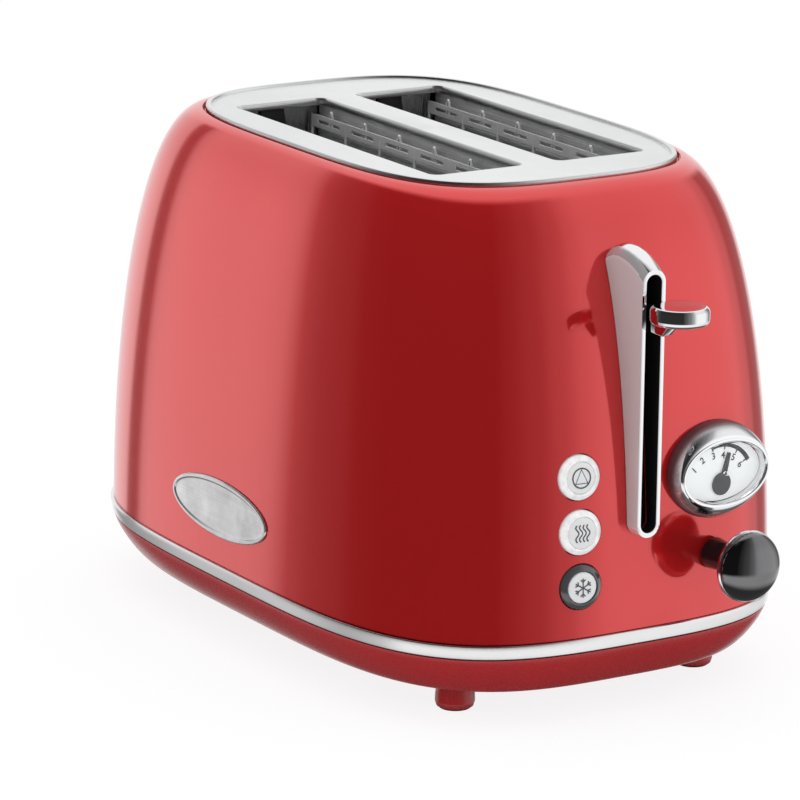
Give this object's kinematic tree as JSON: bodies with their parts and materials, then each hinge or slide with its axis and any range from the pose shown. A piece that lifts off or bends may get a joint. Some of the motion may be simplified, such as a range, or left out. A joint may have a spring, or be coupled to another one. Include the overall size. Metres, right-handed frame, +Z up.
{
  "type": "toaster",
  "caption": "Long-slot countertop toaster with a bulged painted shell, steel top plate, slotted lever guide, oval gauge, round knob and push buttons.",
  "frame": {"origin": "middle of the footprint of the whole toaster, lever handle included, on the surface it stands on", "axes": "+Z up, -Y towards the end with the lever, gauge and knob, X across the two bread slots"},
  "size_m": [0.174, 0.3, 0.18],
  "materials": {
    "red_paint": "gloss",
    "red_plastic": "gloss",
    "satin_steel": "satin",
    "bright_band": "polished",
    "chrome": "mirror",
    "sheet_steel": "galvanised",
    "mica": "matt sheet with windings",
    "black_plastic": "matt",
    "black_gloss": "high gloss",
    "rubber": "matt",
    "white_plastic": "satin",
    "clear_plastic": "clear, bright",
    "grey_plastic": "smoked",
    "dark_ink": "satin",
    "glass": "clear",
    "board": "lacquered"
  },
  "bodies": {
    "chassis": {"body_shell": "red_paint", "top_plate": "satin_steel", "base_band": "bright_band", "base_pan": "red_plastic", "foot_front_left": "red_plastic", "foot_pad_front_left": "rubber", "foot_front_right": "red_plastic", "foot_pad_front_right": "rubber", "foot_rear_left": "red_plastic", "foot_pad_rear_left": "rubber", "foot_rear_right": "red_plastic", "foot_pad_rear_right": "rubber", "badge": "satin_steel", "front_plate": "sheet_steel", "rear_plate": "sheet_steel", "heat_shield_left": "sheet_steel", "heat_shield_right": "sheet_steel", "heater_left": "mica", "heater_centre": "mica", "heater_right": "mica", "lever_guide": "chrome", "guide_liner": "black_plastic", "latch_magnet": "black_plastic", "guide_rail": "chrome", "return_spring": "sheet_steel", "control_board": "board", "switch_stop": "black_plastic", "switch_reheat": "black_plastic", "switch_defrost": "black_plastic", "potentiometer": "black_plastic", "gauge_bezel": "chrome", "gauge_dial": "white_plastic", "gauge_lens": "glass", "gauge_movement": "black_plastic", "base_screw_front_left": "sheet_steel", "base_screw_front_right": "sheet_steel", "base_screw_rear_left": "sheet_steel", "base_screw_rear_right": "sheet_steel", "cord_gland": "black_plastic"},
    "carriage": {"carriage_bracket": "sheet_steel", "bread_lifter_left": "sheet_steel", "bread_lifter_right": "sheet_steel", "latch_keeper": "sheet_steel", "lever_handle": "chrome"},
    "guard_left_outer": {"bread_guard_left_outer": "sheet_steel"},
    "guard_left_inner": {"bread_guard_left_inner": "sheet_steel"},
    "guard_right_outer": {"bread_guard_right_outer": "sheet_steel"},
    "guard_right_inner": {"bread_guard_right_inner": "sheet_steel"},
    "button_stop": {"button_ring_stop": "clear_plastic", "button_cap_stop": "white_plastic"},
    "button_reheat": {"button_ring_reheat": "clear_plastic", "button_cap_reheat": "white_plastic"},
    "button_defrost": {"button_ring_defrost": "grey_plastic", "button_cap_defrost": "white_plastic"},
    "browning_knob": {"knob_rim": "chrome", "knob_dome": "black_gloss", "knob_stem": "black_plastic"},
    "needle": {"gauge_needle": "dark_ink"},
    "tray": {"crumb_tray": "red_plastic"}
  },
  "joints": [
    {"name": "lever_slide", "type": "slide", "parent": "chassis", "child": "carriage", "axis": [0, 0, -1], "range_m": [-0.008, 0.0675], "stiffness_N_per_m": 60, "springref_m": -0.022, "deforming": ["return_spring"]},
    {"name": "guard_left_outer_tilt", "type": "hinge", "parent": "chassis", "child": "guard_left_outer", "pos_m": [-0.0365, 0, 0.036], "axis": [0, 1, 0], "range_deg": [-0.5, 3.6]},
    {"name": "guard_left_inner_tilt", "type": "hinge", "parent": "chassis", "child": "guard_left_inner", "pos_m": [-0.0135, 0, 0.036], "axis": [0, 1, 0], "range_deg": [-3.6, 0.5]},
    {"name": "guard_right_outer_tilt", "type": "hinge", "parent": "chassis", "child": "guard_right_outer", "pos_m": [0.0365, 0, 0.036], "axis": [0, 1, 0], "range_deg": [-3.6, 0.5]},
    {"name": "guard_right_inner_tilt", "type": "hinge", "parent": "chassis", "child": "guard_right_inner", "pos_m": [0.0135, 0, 0.036], "axis": [0, 1, 0], "range_deg": [-0.5, 3.6]},
    {"name": "stop_press", "type": "slide", "parent": "chassis", "child": "button_stop", "axis": [0.0729, 0.9929, -0.0938], "range_m": [0, 0.002], "stiffness_N_per_m": 300, "springref_m": -0.001},
    {"name": "reheat_press", "type": "slide", "parent": "chassis", "child": "button_reheat", "axis": [0.0711, 0.9957, -0.0601], "range_m": [0, 0.002], "stiffness_N_per_m": 300, "springref_m": -0.001},
    {"name": "defrost_press", "type": "slide", "parent": "chassis", "child": "button_defrost", "axis": [0.0701, 0.997, -0.0315], "range_m": [0, 0.002], "stiffness_N_per_m": 300, "springref_m": -0.001},
    {"name": "browning_turn", "type": "hinge", "parent": "chassis", "child": "browning_knob", "pos_m": [0.031, -0.11848, 0.0524], "axis": [-0.0349, 0.9994, 0], "range_deg": [-180, 90]},
    {"name": "needle_turn", "type": "hinge", "parent": "chassis", "child": "needle", "pos_m": [0.03245, -0.11651, 0.0767], "axis": [-0.0785, 0.9969, 0], "range_deg": [-80, 40]},
    {"name": "tray_slide", "type": "slide", "parent": "chassis", "child": "tray", "axis": [0, 1, 0], "range_m": [0, 0.185]}
  ],
  "couplings": [
    {"joint": "guard_left_outer_tilt", "follows": "lever_slide", "rad_per_m": 0.905},
    {"joint": "guard_left_inner_tilt", "follows": "lever_slide", "rad_per_m": -0.905},
    {"joint": "guard_right_outer_tilt", "follows": "lever_slide", "rad_per_m": -0.905},
    {"joint": "guard_right_inner_tilt", "follows": "lever_slide", "rad_per_m": 0.905},
    {"joint": "needle_turn", "follows": "browning_turn", "ratio": 0.42}
  ]
}
